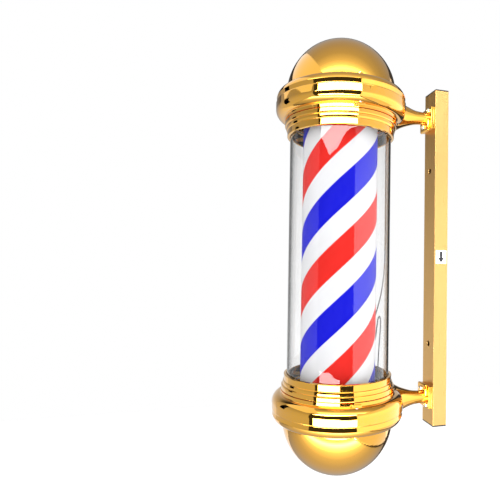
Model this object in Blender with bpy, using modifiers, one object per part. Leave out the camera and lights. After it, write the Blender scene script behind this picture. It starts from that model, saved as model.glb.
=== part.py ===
"""Wall-mounted barber pole light: each separate piece is one closed solid. Metres, +Z up.

The origin is the centre of the wall rail's back face, the wall is the plane Y = 0 and the front looks
along -Y. The pole's own axis is vertical, AXIS_TO_WALL in front of the wall. Heights are measured from
the pole's middle, and the two ends are mirror images, so most pieces are made once for each side.
"""

import math

import bmesh
import bpy
from mathutils import Matrix, Vector

# Driving dimensions.
GAP = 0.0003
AXIS_TO_WALL = 0.189
POLE_AXIS = Vector((0, -AXIS_TO_WALL, 0))
SIDES = {"top": 1, "bottom": -1}
ROUND_STEPS = 32
INNER_STEPS = 24
SMALL_STEPS = 12
HOLE_STEPS = 10

DOME_RADIUS = 0.0893
DOME_CENTRE = 0.2607
DOME_WALL = 0.002
DOME_SKIRT = 0.2503
EAR_WIDTH = 0.0090
EAR_REACH = 0.0972
EAR_BOTTOM = 0.2627
EAR_TOP = 0.2643

BAND_RADIUS = 0.1060
BAND_WALL = 0.0025
BAND_CREST = 0.2624
BULGE_TOP = 0.2520
BULGE_BOTTOM = 0.2345
NECK_RADIUS = 0.0923
NECK_INNER = 0.0900
NECK_BOTTOM = 0.2148
BOSS_FACE = 0.0958

SLEEVE_RADIUS = NECK_INNER - GAP
SLEEVE_INNER = 0.0870
SLEEVE_TOP = 0.2340
RING_RADIUS = 0.0913
RIM_RADIUS = 0.0873
RIM_HEIGHT = 0.1898
SHOULDER_INNER = 0.0778
SHOULDER_BOTTOM = 0.2124
SHOULDER_TOP = 0.2150

TUBE_RADIUS = 0.0825
TUBE_WALL = 0.0030
TUBE_HALF = 0.2098

DRUM_RADIUS = 0.0610
DRUM_WALL = 0.0015
DRUM_TOP = 0.2045
DRUM_BOTTOM = -0.2060
HUB_RADIUS = DRUM_RADIUS - DRUM_WALL - GAP
SHAFT_RADIUS = 0.0030
RUNNING_HOLE = SHAFT_RADIUS + GAP

RAIL_WIDTH = 0.038
RAIL_DEPTH = 0.025
RAIL_WALL = 0.0015
RAIL_HALF = 0.2860
RAIL_PLUG = 0.0020
WALL_SCREW_HEIGHT = 0.150
DRIVER_HOLE = 0.0048
WALL_SCREW_HOLE = 0.0030

ARM_HEIGHT = 0.2410
ARM_TIP = 0.0105
SADDLE_TOP = 0.1048
FLANGE_HEIGHTS = (0.2203, 0.2575)
FLANGE_FACE = 0.1560
FLANGE_BACK = 0.1598
LUG_FACE = 0.1510
LUG_HALF_WIDTH = 0.0140
LUG_HEIGHTS = (0.2175, 0.2385)
LUG_SCREW = (0.0, 0.2262)
FLANGE_SCREW = (0.0090, 0.2532)
SCREW_SHANK = 0.0020
SCREW_HOLE = SCREW_SHANK + GAP

SIDE_SCREW_HEIGHT = 0.2238
SIDE_SCREW_HEAD = 0.0038
BRACKET_HALF = 0.0853
BRACKET_WIDTH = 0.024
BRACKET_FACE = SHOULDER_TOP + GAP
BRACKET_PLATE = 0.0020
BRACKET_BACK = BRACKET_FACE + BRACKET_PLATE

MOTOR_RADIUS = 0.0250
MOTOR_FACE = BRACKET_BACK + GAP
MOTOR_COVER = 0.0012
MOTOR_DEPTH = 0.0210
MOTOR_SCREW_X = 0.0300
TERMINAL_X = -0.0560

LEAD_RADIUS = 0.0011
LEAD_TRACK = 0.0755

# Colours: red, green, blue.
GOLD = (0.86, 0.60, 0.20)
SATIN_GOLD = (0.78, 0.58, 0.30)
BLACK = (0.02, 0.02, 0.02)
WHITE = (0.88, 0.88, 0.88)
STEEL = (0.62, 0.62, 0.64)
BRASS = (0.80, 0.62, 0.30)
CLEAR = (0.95, 0.97, 0.98)
GREY = (0.35, 0.35, 0.36)


def clear_scene():
    for obj in list(bpy.data.objects):
        bpy.data.objects.remove(obj)


def new_collection(name, hidden=False):
    collection = bpy.data.collections.new(name)
    bpy.context.scene.collection.children.link(collection)
    collection.hide_render = hidden
    return collection


def material(name, colour, metallic, roughness, transmission=0.0):
    found = bpy.data.materials.get(name) or bpy.data.materials.new(name)
    found.use_nodes = True
    shader = found.node_tree.nodes["Principled BSDF"]
    shader.inputs["Base Color"].default_value = (*colour, 1)
    shader.inputs["Metallic"].default_value = metallic
    shader.inputs["Roughness"].default_value = roughness
    shader.inputs["Transmission Weight"].default_value = transmission
    return found


def finish(name):
    """The finish of each kind of piece, as a material of its own name."""
    kinds = {
        "gold_plate": (GOLD, 1.0, 0.06),
        "satin_gold": (SATIN_GOLD, 1.0, 0.35),
        "black_plastic": (BLACK, 0.0, 0.45),
        "white_plastic": (WHITE, 0.0, 0.35),
        "drum_film": (WHITE, 0.0, 0.30),
        "clear_tube": (CLEAR, 0.0, 0.02, 1.0),
        "bright_screw": (STEEL, 1.0, 0.20),
        "zinc_steel": (STEEL, 1.0, 0.35),
        "brass": (BRASS, 1.0, 0.25),
        "soft_rubber": (GREY, 0.0, 0.70),
        "label": (WHITE, 0.0, 0.50),
        "lead": (BLACK, 0.0, 0.50),
    }
    return material(name, *kinds[name])


def add_object(name, mesh, finish_name, location=(0, 0, 0)):
    obj = bpy.data.objects.new(name, mesh)
    PARTS.objects.link(obj)
    obj.location = location
    if finish_name:
        mesh.materials.append(finish(finish_name))
    return obj


def arc(centre, size, start, end, count):
    """Points of an ellipse's arc, from one angle to another in degrees, both ends included."""
    points = []
    for index in range(count):
        angle = math.radians(start + (end - start) * index / (count - 1))
        points.append((centre[0] + size[0] * math.cos(angle), centre[1] + size[1] * math.sin(angle)))
    return points


def at_side(profile, side):
    """The outline at one end of the pole. Turned over, it still runs down its outer side."""
    return profile if side > 0 else [(radius, -height) for radius, height in reversed(profile)]


def turned(name, profile, finish_name, location=POLE_AXIS, axis=(0, 0, 1), steps=ROUND_STEPS, spin=0):
    """A turned piece. The outline runs down its outer side; one off the axis is closed into a ring."""
    mesh = bpy.data.meshes.new(name)
    points = [(radius, 0, height) for radius, height in profile]
    edges = [(index, index + 1) for index in range(len(points) - 1)]
    if profile[0][0] > 0:
        edges.append((len(points) - 1, 0))
    mesh.from_pydata(points, edges, [])
    obj = add_object(name, mesh, finish_name, location)
    aim = Vector((0, 0, 1)).rotation_difference(Vector(axis)).to_matrix()
    obj.rotation_euler = (aim @ Matrix.Rotation(spin, 3, "Z")).to_euler()
    turn = obj.modifiers.new("Turn", "SCREW")
    turn.steps = steps
    turn.render_steps = steps
    turn.use_merge_vertices = True
    turn.merge_threshold = 0.00001
    turn.use_smooth_shade = True
    return obj


def box(name, low, high, finish_name, bevel=0.0):
    mesh = bpy.data.meshes.new(name)
    shape = bmesh.new()
    bmesh.ops.create_cube(shape, size=1)
    size = Vector(high) - Vector(low)
    bmesh.ops.scale(shape, vec=size, verts=shape.verts)
    shape.to_mesh(mesh)
    shape.free()
    obj = add_object(name, mesh, finish_name, (Vector(low) + Vector(high)) / 2)
    if bevel:
        edge = obj.modifiers.new("Edges", "BEVEL")
        edge.width = bevel
        edge.segments = 2
    return obj


def pole_box(name, low, high, finish_name, bevel=0.0):
    """A box placed from the pole's axis."""
    return box(name, Vector(low) + POLE_AXIS, Vector(high) + POLE_AXIS, finish_name, bevel)


def rod(name, radius, start, end, finish_name, location=POLE_AXIS, axis=(0, 0, 1), steps=HOLE_STEPS):
    """A solid cylinder, spun a little so that no edge lies on an edge of the piece that it cuts."""
    outline = [(0, end), (radius, end), (radius, start), (0, start)]
    return turned(name, outline, finish_name, location, axis, steps, spin=0.2)


def ring(name, outer, inner, low, high, finish_name, steps=ROUND_STEPS):
    outline = [(inner, high), (outer, high), (outer, low), (inner, low)]
    return turned(name, outline, finish_name, steps=steps)


def change(obj, tool, operation):
    """Cuts a tool from an object, or joins it on, and moves the tool to the cutters."""
    PARTS.objects.unlink(tool)
    CUTTERS.objects.link(tool)
    tool.hide_render = True
    tool.display_type = "WIRE"
    step = obj.modifiers.new(tool.name, "BOOLEAN")
    step.operation = operation
    step.solver = "EXACT"
    step.object = tool


def cut(obj, tool):
    change(obj, tool, "DIFFERENCE")


def join(obj, tool):
    change(obj, tool, "UNION")


def ride(pieces, pivot):
    """Parents moving pieces to the empty on their joint's axis, without moving them."""
    for piece in pieces:
        piece.parent = pivot
        piece.location = Vector(piece.location) - Vector(pivot.location)


def screw(name, seat, axis, head, height, shank, length, finish_name="bright_screw"):
    """A pan-head screw: the underside of its head is at seat and its head points along axis."""
    outline = [
        (0, height),
        (0.75 * head, 0.85 * height),
        (head, 0.30 * height),
        (head, 0),
        (shank, 0),
        (shank, -length),
        (0, -length),
    ]
    return turned(name, outline, finish_name, seat, axis, SMALL_STEPS)


def dome(end, side):
    """Hemisphere with a short skirt that stands in the band, and an ear each side for its screw."""
    inner = DOME_RADIUS - DOME_WALL
    outside = arc((0, DOME_CENTRE), (DOME_RADIUS, DOME_RADIUS), 90, 0, 8)
    inside = arc((0, DOME_CENTRE), (inner, inner), 0, 90, 8)
    outside[0] = (0, outside[0][1])
    inside[-1] = (0, inside[-1][1])
    outline = outside + [(DOME_RADIUS, DOME_SKIRT), (inner, DOME_SKIRT)] + inside
    shell = turned(f"{end}_dome", at_side(outline, side), "gold_plate")
    for way in (-1, 1):
        reach = sorted((way * (inner + 0.0006), way * EAR_REACH))
        heights = sorted((side * EAR_BOTTOM, side * EAR_TOP))
        low = (reach[0], -EAR_WIDTH / 2, heights[0])
        high = (reach[1], EAR_WIDTH / 2, heights[1])
        join(shell, pole_box(f"{end}_ear_{way}", low, high, "gold_plate"))
        place = POLE_AXIS + Vector((way * 0.0940, 0, side * 0.2560))
        cut(shell, rod(f"{end}_ear_hole_{way}", 0.0014, -0.003, 0.012, None, place, (0, 0, side)))
    return shell


def band_outline():
    """The big bulging ring: crest, bulge, hollow curve under it and the neck, then its inner side."""
    crest = [(DOME_RADIUS + GAP, BAND_CREST), (0.0995, BAND_CREST - 0.0002)]
    upper = arc((0.0995, BULGE_TOP), (0.0065, 0.0102), 65, 0, 4)
    lower = arc((0.1010, BULGE_BOTTOM), (0.0050, 0.0070), 0, -74, 4)
    hollow = arc((0.1025, 0.2165), (0.1025 - NECK_RADIUS, 0.0110), 104, 180, 4)
    neck = [(NECK_RADIUS, NECK_BOTTOM)]
    bulge = BAND_RADIUS - BAND_WALL
    inside = [
        (NECK_INNER, NECK_BOTTOM),
        (NECK_INNER, 0.2270),
        (0.0990, 0.2302),
        (bulge, 0.2350),
        (bulge, 0.2530),
        (0.0990, 0.2600),
        (0.0921, 0.2600),
        (0.0921, 0.2480),
        (0.0850, 0.2480),
        (0.0850, DOME_SKIRT - GAP),
        (DOME_RADIUS + GAP, DOME_SKIRT - GAP),
    ]
    return crest + upper + lower + hollow + neck, inside


def band(end, side):
    outside, inside = band_outline()
    shell = turned(f"{end}_band", at_side(outside + inside, side), "gold_plate")
    for way in (-1, 1):
        reach = sorted((way * 0.0910, way * BOSS_FACE))
        heights = sorted((side * 0.2166, side * 0.2300))
        low = (reach[0], -0.0082, heights[0])
        high = (reach[1], 0.0082, heights[1])
        join(shell, pole_box(f"{end}_boss_{way}", low, high, "gold_plate"))
        place = POLE_AXIS + Vector((0, 0, side * SIDE_SCREW_HEIGHT))
        pocket = SIDE_SCREW_HEAD + 0.0005
        seat = BOSS_FACE - GAP
        hole = [(0, 0.110), (pocket, 0.110), (pocket, seat), (0.0019, seat), (0.0019, 0.080), (0, 0.080)]
        cut(shell, turned(f"{end}_boss_hole_{way}", hole, None, place, (way, 0, 0), HOLE_STEPS, spin=0.2))
        place = POLE_AXIS + Vector((way * 0.0940, 0, side * 0.2560))
        cut(shell, rod(f"{end}_crest_hole_{way}", 0.0014, 0, 0.010, None, place, (0, 0, side)))
    place = POLE_AXIS + Vector((0, 0, side * ARM_HEIGHT))
    cut(shell, rod(f"{end}_arm_bolt_hole", 0.0028, 0.095, 0.110, None, place, (0, 1, 0)))
    return shell


def collar_outline():
    """The stepped rings below the band, down to the rim round the clear tube."""
    upper_ring = [(0.0908, 0.2143), (RING_RADIUS, 0.2134), (RING_RADIUS, 0.2078), (0.0903, 0.2068)]
    bead = arc((0.0868, 0.2030), (0.0020, 0.0034), 80, -80, 3)
    lower_ring = [(RIM_RADIUS, 0.1978), (RIM_RADIUS, 0.1910)]
    return upper_ring + bead + lower_ring


def collar(end, side):
    """Stepped rings with the tube's socket, an inner shoulder, and a sleeve up inside the neck."""
    socket = TUBE_RADIUS + GAP
    rim = [(0.0838, RIM_HEIGHT), (socket, RIM_HEIGHT + 0.0006)]
    inside = [
        (socket, SHOULDER_BOTTOM),
        (SHOULDER_INNER, SHOULDER_BOTTOM),
        (SHOULDER_INNER, SHOULDER_TOP),
        (SLEEVE_INNER, SHOULDER_TOP),
        (SLEEVE_INNER, SLEEVE_TOP),
        (SLEEVE_RADIUS, SLEEVE_TOP),
        (SLEEVE_RADIUS, NECK_BOTTOM - GAP),
    ]
    outline = collar_outline() + rim + inside
    shell = turned(f"{end}_collar", at_side(outline, side), "gold_plate")
    place = POLE_AXIS + Vector((0, 0, side * SIDE_SCREW_HEIGHT))
    for way in (-1, 1):
        cut(shell, rod(f"{end}_sleeve_hole_{way}", 0.0019, 0.080, 0.095, None, place, (way, 0, 0)))
    return shell


def end_screws(end, side):
    for number, way in enumerate((-1, 1), start=1):
        seat = POLE_AXIS + Vector((way * BOSS_FACE, 0, side * SIDE_SCREW_HEIGHT))
        screw(f"{end}_side_screw_{number}", seat, (way, 0, 0), SIDE_SCREW_HEAD, 0.0026, 0.0016, 0.0150)
        seat = POLE_AXIS + Vector((way * 0.0940, 0, side * (EAR_TOP + GAP)))
        screw(f"{end}_dome_screw_{number}", seat, (0, 0, side), 0.0022, 0.0016, 0.0011, 0.0078)


def inner_bracket(end, side):
    """A steel strap across the end, with a turned-up tab behind each side screw."""
    low, high = sorted((side * BRACKET_FACE, side * BRACKET_BACK))
    half = BRACKET_WIDTH / 2
    name = "lamp_bracket" if side > 0 else "motor_bracket"
    strap = pole_box(name, (-BRACKET_HALF, -half, low), (BRACKET_HALF, half, high), "zinc_steel")
    for way in (-1, 1):
        reach = sorted((way * (BRACKET_HALF - BRACKET_PLATE), way * BRACKET_HALF))
        heights = sorted((side * BRACKET_FACE, side * 0.2325))
        low, high = (reach[0], -half, heights[0]), (reach[1], half, heights[1])
        join(strap, pole_box(f"{name}_tab_{way}", low, high, "zinc_steel"))
        place = POLE_AXIS + Vector((0, 0, side * SIDE_SCREW_HEIGHT))
        cut(strap, rod(f"{name}_tab_hole_{way}", 0.0019, 0.075, 0.090, None, place, (way, 0, 0)))
    place = POLE_AXIS + Vector((0, 0, side * BRACKET_FACE))
    cut(strap, rod(f"{name}_hole", 0.0062, -0.002, 0.004, None, place, (0, 0, side)))
    return strap


def envelope(side):
    """The outside of band and collar, grown by the gap, which shapes the arm's saddle."""
    outside = band_outline()[0] + collar_outline()
    grown = []
    for index, (radius, height) in enumerate(outside):
        before = outside[max(index - 1, 0)]
        after = outside[min(index + 1, len(outside) - 1)]
        along = Vector((after[0] - before[0], after[1] - before[1])).normalized()
        grown.append((radius - along.y * GAP, height + along.x * GAP))
    top = 0.290
    saddle = [point for point in grown if point[0] > SADDLE_TOP or point[1] < BULGE_TOP]
    outline = [(0, top), (SADDLE_TOP, top)] + saddle + [(RIM_RADIUS, 0.1895), (0, 0.1895)]
    return turned(f"envelope_{side}", at_side(outline, side), None)


def arm(name, side):
    """Trumpet arm with its saddle, wall flange, raised lug and screw holes."""
    trumpet = [
        (0, FLANGE_FACE + 0.001),
        (ARM_TIP, FLANGE_FACE + 0.001),
        (ARM_TIP, 0.1480),
        (0.0112, 0.1390),
        (0.0124, 0.1310),
        (0.0150, 0.1220),
        (0.0190, 0.1100),
        (0.0234, 0.1020),
        (0.0275, 0.0960),
        (0.0330, 0.0890),
        (0, 0.0890),
    ]
    axis_point = POLE_AXIS + Vector((0, 0, side * ARM_HEIGHT))
    body = turned(name, trumpet, "gold_plate", axis_point, (0, 1, 0), steps=INNER_STEPS)
    half = RAIL_WIDTH / 2
    low, high = sorted(side * height for height in FLANGE_HEIGHTS)
    plate = pole_box(f"{name}_flange", (-half, FLANGE_FACE, low), (half, FLANGE_BACK, high), "gold_plate")
    join(body, plate)
    low, high = sorted(side * height for height in LUG_HEIGHTS)
    wide = LUG_HALF_WIDTH
    lug = pole_box(f"{name}_lug", (-wide, LUG_FACE, low), (wide, FLANGE_FACE + 0.001, high), None)
    join(body, lug)
    cut(body, envelope(side))
    cut(body, rod(f"{name}_bolt_hole", 0.0028, 0.100, 0.124, None, axis_point, (0, 1, 0)))
    screw_holes(body, side)
    return body


def screw_holes(obj, side):
    """The holes of the two flange screws, through arm, base plate or rail."""
    for x, height in (LUG_SCREW, FLANGE_SCREW):
        place = POLE_AXIS + Vector((x, 0, side * height))
        name = f"{obj.name}_screw_hole_{x:g}_{side}"
        cut(obj, rod(name, SCREW_HOLE, LUG_FACE - 0.002, 0.168, None, place, (0, 1, 0)))


def base_plate(name, side):
    half = RAIL_WIDTH / 2
    front = FLANGE_BACK + GAP
    back = AXIS_TO_WALL - RAIL_DEPTH - GAP
    low, high = sorted(side * height for height in FLANGE_HEIGHTS)
    plate = pole_box(name, (-half, front, low), (half, back, high), "gold_plate")
    screw_holes(plate, side)
    return plate


def arm_screws(name, side):
    for number, (x, height) in enumerate((LUG_SCREW, FLANGE_SCREW), start=1):
        face = LUG_FACE if number == 1 else FLANGE_FACE
        seat = POLE_AXIS + Vector((x, face - GAP, side * height))
        length = 0.1700 - face
        screw(f"{name}_flange_screw_{number}", seat, (0, -1, 0), 0.0042, 0.0036, SCREW_SHANK, length)
    seat = POLE_AXIS + Vector((0, BAND_RADIUS - BAND_WALL - 0.0009, side * ARM_HEIGHT))
    screw(f"{name}_arm_bolt", seat, (0, -1, 0), 0.0045, 0.0030, 0.0025, 0.0190, "zinc_steel")


def wall_rail():
    """Rectangular tube with a driver hole in front of each wall screw hole."""
    half = RAIL_WIDTH / 2
    rail = box("wall_rail", (-half, -RAIL_DEPTH, -RAIL_HALF), (half, 0, RAIL_HALF), "satin_gold")
    inner = half - RAIL_WALL
    low = (-inner, -RAIL_DEPTH + RAIL_WALL, -RAIL_HALF - 0.01)
    high = (inner, -RAIL_WALL, RAIL_HALF + 0.01)
    cut(rail, box("rail_hollow", low, high, None))
    for side in SIDES.values():
        place = Vector((0, 0, side * WALL_SCREW_HEIGHT))
        cut(rail, rod(f"driver_hole_{side}", DRIVER_HOLE, -0.030, -0.020, None, place, (0, 1, 0)))
        cut(rail, rod(f"wall_screw_hole_{side}", WALL_SCREW_HOLE, -0.005, 0.005, None, place, (0, 1, 0)))
        screw_holes(rail, side)
    return rail


def rail_plug(end, side):
    """Plastic plug: a plate over the rail's end and a block inside it."""
    half = RAIL_WIDTH / 2
    low, high = sorted((side * (RAIL_HALF + GAP), side * (RAIL_HALF + GAP + RAIL_PLUG)))
    plug = box(f"rail_plug_{end}", (-half, -RAIL_DEPTH, low), (half, 0, high), "black_plastic")
    inner = half - RAIL_WALL - GAP
    near = -RAIL_DEPTH + RAIL_WALL + GAP
    low, high = sorted((side * (RAIL_HALF - 0.008), side * (RAIL_HALF + 0.001)))
    join(plug, box(f"plug_block_{end}", (-inner, near, low), (inner, -RAIL_WALL - GAP, high), None))
    return plug


def arrow_label():
    """A thin sticker on the rail's side."""
    x = RAIL_WIDTH / 2 + GAP
    box("arrow_label", (x, -0.0215, -0.0115), (x + 0.0003, -0.0035, 0.0115), "label")


def clear_tube():
    ring("clear_tube", TUBE_RADIUS, TUBE_RADIUS - TUBE_WALL, -TUBE_HALF, TUBE_HALF, "clear_tube")
    for end, side in SIDES.items():
        low, high = sorted((side * (TUBE_HALF + GAP), side * (SHOULDER_BOTTOM - GAP)))
        ring(f"{end}_gasket", TUBE_RADIUS, TUBE_RADIUS - 0.0040, low, high, "soft_rubber")


def lamp():
    """Bulb and screw lamp holder, hanging on a threaded nipple from the strap at the top."""
    ring("lamp_nipple", 0.0050, 0.0035, 0.1990, 0.2235, "zinc_steel", SMALL_STEPS)
    ring("nipple_nut", 0.0085, 0.0062, BRACKET_BACK + GAP, BRACKET_BACK + 0.0033, "zinc_steel", 6)
    holder = [
        (0.0053, 0.2148),
        (0.0120, 0.2148),
        (0.0190, 0.2080),
        (0.0190, 0.1690),
        (0.0160, 0.1690),
        (0.0160, 0.2060),
        (0.0053, 0.2110),
    ]
    turned("lamp_holder", holder, "white_plastic", steps=INNER_STEPS)
    base = [
        (0, 0.1960),
        (0.0050, 0.1960),
        (0.0130, 0.1920),
        (0.0134, 0.1680),
        (0.0160, 0.1660),
        (0.0285, 0.1520),
        (0.0285, 0.1500),
        (0, 0.1500),
    ]
    turned("bulb_base", base, "brass", steps=INNER_STEPS)
    inside = arc((0, 0.1290), (0.0285, 0.0285), -90, 30, 5)
    outside = arc((0, 0.1290), (0.0300, 0.0300), 30, -90, 6)
    inside[0] = (0, inside[0][1])
    outside[-1] = (0, outside[-1][1])
    mouth = [(0.0265, 0.1497), (0.0280, 0.1497)]
    turned("bulb_diffuser", inside + mouth + outside, "white_plastic", steps=INNER_STEPS)
    ring("guide_bush", 0.0240, 0.0193, 0.1950, 0.2035, "soft_rubber", INNER_STEPS)


def motor():
    """Synchronous gear motor under the lower strap: cover with two ears and an output boss, and can."""
    face = -MOTOR_FACE
    back = face - MOTOR_COVER
    cover_outline = [
        (RUNNING_HOLE, -0.2142),
        (0.0055, -0.2142),
        (0.0055, face),
        (MOTOR_RADIUS, face),
        (MOTOR_RADIUS, back),
        (RUNNING_HOLE, back),
    ]
    cover = turned("motor_cover", cover_outline, "zinc_steel", steps=INNER_STEPS)
    can_top = back - GAP
    can_bottom = can_top - MOTOR_DEPTH
    inner = MOTOR_RADIUS - 0.001
    can_outline = [
        (0, can_bottom + 0.001),
        (inner, can_bottom + 0.001),
        (inner, can_top),
        (MOTOR_RADIUS, can_top),
        (MOTOR_RADIUS, can_bottom),
        (0, can_bottom),
    ]
    turned("motor_can", can_outline, "zinc_steel", steps=INNER_STEPS)
    strap = bpy.data.objects["motor_bracket"]
    for number, way in enumerate((-1, 1), start=1):
        reach = sorted((way * (MOTOR_RADIUS - 0.002), way * (MOTOR_SCREW_X + 0.0045)))
        join(cover, pole_box(f"motor_ear_{way}", (reach[0], -0.005, back), (reach[1], 0.005, face), None))
        place = POLE_AXIS + Vector((way * MOTOR_SCREW_X, 0, back))
        for piece in (cover, strap):
            cut(piece, rod(f"{piece.name}_motor_hole_{way}", 0.0018, -0.002, 0.006, None, place))
        seat = place - Vector((0, 0, GAP))
        screw(f"motor_screw_{number}", seat, (0, 0, -1), 0.0028, 0.0020, 0.0015, 0.0060)


def drum(pivot):
    """Everything that turns: striped shell, hub on the motor's shaft, and the upper guide ring."""
    outline = [DRUM_RADIUS, DRUM_RADIUS - DRUM_WALL, DRUM_BOTTOM, DRUM_TOP]
    shell = ring("drum_shell", *outline, "drum_film", 40)
    hub_outline = [
        (RUNNING_HOLE, -0.1900),
        (0.0090, -0.1900),
        (0.0090, -0.1995),
        (HUB_RADIUS - 0.0015, -0.1995),
        (HUB_RADIUS - 0.0015, -0.1930),
        (HUB_RADIUS, -0.1930),
        (HUB_RADIUS, -0.2050),
        (HUB_RADIUS - 0.0015, -0.2050),
        (HUB_RADIUS - 0.0015, -0.2015),
        (0.0090, -0.2015),
        (0.0090, -0.2120),
        (RUNNING_HOLE, -0.2120),
    ]
    hub = turned("drum_hub", hub_outline, "white_plastic", steps=INNER_STEPS)
    for index in range(6):
        angle = math.radians(60 * index)
        place = POLE_AXIS + 0.034 * Vector((math.cos(angle), math.sin(angle), 0))
        cut(hub, rod(f"vent_{index}", 0.0100, -0.210, -0.195, None, place))
    set_screw_height = POLE_AXIS + Vector((0, 0, -0.2068))
    cut(hub, rod("set_screw_hole", 0.0018, 0, 0.012, None, set_screw_height, (1, 0, 0)))
    set_screw = rod("hub_set_screw", 0.0015, 0.0033, 0.0088, "zinc_steel", set_screw_height, (1, 0, 0))
    shaft = rod("output_shaft", SHAFT_RADIUS, -0.2260, -0.1930, "zinc_steel", steps=SMALL_STEPS)
    guide_outline = [
        (0.0246, 0.2005),
        (HUB_RADIUS, 0.2005),
        (HUB_RADIUS, 0.1900),
        (HUB_RADIUS - 0.0015, 0.1900),
        (HUB_RADIUS - 0.0015, 0.1985),
        (0.0246, 0.1985),
    ]
    guide = turned("drum_top_ring", guide_outline, "white_plastic", steps=INNER_STEPS)
    for index in range(6):
        angle = math.radians(60 * index)
        place = POLE_AXIS + 0.041 * Vector((math.cos(angle), math.sin(angle), 0))
        cut(guide, rod(f"top_vent_{index}", 0.0090, 0.190, 0.205, None, place))
    ride([shell, hub, set_screw, shaft, guide], pivot)


def smooth(points, spacing):
    """A smooth curve through hand-placed points, with a point about every spacing metres."""
    ends = [2 * points[0] - points[1]] + points + [2 * points[-1] - points[-2]]
    curve = []
    for before, start, end, after in zip(ends, ends[1:], ends[2:], ends[3:]):
        count = max(1, round((end - start).length / spacing))
        for step in range(count):
            t = step / count
            bend = 2 * start + (end - before) * t
            bend += (2 * before - 5 * start + 4 * end - after) * t**2
            bend += (3 * start - before - 3 * end + after) * t**3
            curve.append(bend / 2)
    return curve + [points[-1]]


def wire(name, points, spacing=0.011):
    data = bpy.data.curves.new(name, "CURVE")
    data.dimensions = "3D"
    data.bevel_depth = LEAD_RADIUS
    data.bevel_resolution = 2
    data.use_fill_caps = True
    spline = data.splines.new("POLY")
    route = smooth(points, spacing)
    spline.points.add(len(route) - 1)
    for point, place in zip(spline.points, route):
        point.co = (*place, 1)
    return add_object(name, data, "lead", POLE_AXIS)


def on_track(angle, height):
    """A point of the lead where it leans on the clear tube, by its angle from +X in degrees."""
    turn = math.radians(angle)
    return Vector((LEAD_TRACK * math.cos(turn), LEAD_TRACK * math.sin(turn), height))


def leads():
    """Terminal block, the lamp's long lead with its slack loop, and the motor's short one."""
    x = TERMINAL_X
    top = -BRACKET_BACK - GAP
    pole_box("terminal_block", (x - 0.010, -0.006, top - 0.011), (x + 0.010, 0.006, top), "white_plastic")
    start = Vector((x, 0.0063, top - 0.006))
    below = [
        start,
        start + Vector((0.001, 0.008, 0)),
        Vector((-0.0500, 0.0290, -0.2236)),
        Vector((-0.0390, 0.0490, -0.2225)),
        Vector((-0.0240, 0.0650, -0.2185)),
        Vector((-0.0130, 0.0725, -0.2105)),
    ]
    beside = [
        on_track(97, -0.198),
        on_track(96, -0.182),
        on_track(94.5, -0.160),
        on_track(92, -0.138),
        on_track(90, -0.120),
        on_track(90, -0.108),
        on_track(93.5, -0.102),
        on_track(97.5, -0.107),
        on_track(100, -0.120),
        on_track(103, -0.138),
        on_track(107, -0.152),
        on_track(111.5, -0.155),
        on_track(115, -0.147),
        on_track(114, -0.132),
        on_track(108, -0.112),
        on_track(99, -0.088),
        on_track(89, -0.063),
        on_track(80, -0.036),
        on_track(74, -0.010),
        on_track(72, 0.020),
        on_track(72, 0.060),
        on_track(72.5, 0.110),
        on_track(73, 0.160),
        on_track(73, 0.198),
    ]
    above = [
        Vector((0.0215, 0.0705, 0.2130)),
        Vector((0.0185, 0.0620, 0.2240)),
        Vector((0.0130, 0.0450, 0.2320)),
        Vector((0.0065, 0.0230, 0.2360)),
        Vector((0.0015, 0.0065, 0.2345)),
        Vector((0, 0, 0.2280)),
        Vector((0, 0, 0.2180)),
    ]
    wire("lamp_lead", below + beside + above)
    can = Vector((-MOTOR_RADIUS - GAP, 0, -MOTOR_FACE - 0.0120))
    corner = Vector((x + 0.0103, 0, top - 0.006))
    wire("motor_lead", [corner, corner + Vector((0.006, 0, -0.0015)), can - Vector((0.005, 0, 0)), can], 0.004)


def cable_grommet():
    """Rubber grommet low at the back of the bottom dome, for the supply cable."""
    centre = POLE_AXIS + Vector((0, 0, -DOME_CENTRE))
    out = Vector((0, 1, -1)).normalized()
    shell = bpy.data.objects["bottom_dome"]
    cut(shell, rod("grommet_hole", 0.0053, 0.080, 0.095, None, centre, out))
    outline = [
        (0.0025, 0.0910),
        (0.0068, 0.0910),
        (0.0075, 0.0904),
        (0.0075, 0.0896),
        (0.0050, 0.0896),
        (0.0050, 0.0856),
        (0.0070, 0.0856),
        (0.0070, 0.0844),
        (0.0025, 0.0844),
    ]
    turned("cable_grommet", outline, "soft_rubber", centre, out, SMALL_STEPS)


def build():
    for end, side in SIDES.items():
        dome(end, side)
        band(end, side)
        collar(end, side)
        end_screws(end, side)
        inner_bracket(end, side)
        name = "upper" if side > 0 else "lower"
        arm(f"{name}_arm", side)
        base_plate(f"{name}_base_plate", side)
        arm_screws(name, side)
        rail_plug(end, side)
    wall_rail()
    arrow_label()
    clear_tube()
    lamp()
    motor()
    leads()
    cable_grommet()
    pivot = bpy.data.objects.new("drum_pivot", None)
    PARTS.objects.link(pivot)
    pivot.location = POLE_AXIS
    drum(pivot)


clear_scene()
PARTS = new_collection("barber_pole_light")
CUTTERS = new_collection("cutters", hidden=True)
build()
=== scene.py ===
"""Looks of the wall-mounted barber pole light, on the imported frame.

Metres, +Z up. The wall is the plane Y = 0 and the front looks along -Y. Heights are measured from the
pole's middle. The two ends are mirror images, so most pieces are made once for each side.
"""

import math

import bmesh
import bpy
from mathutils import Matrix, Vector


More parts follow.
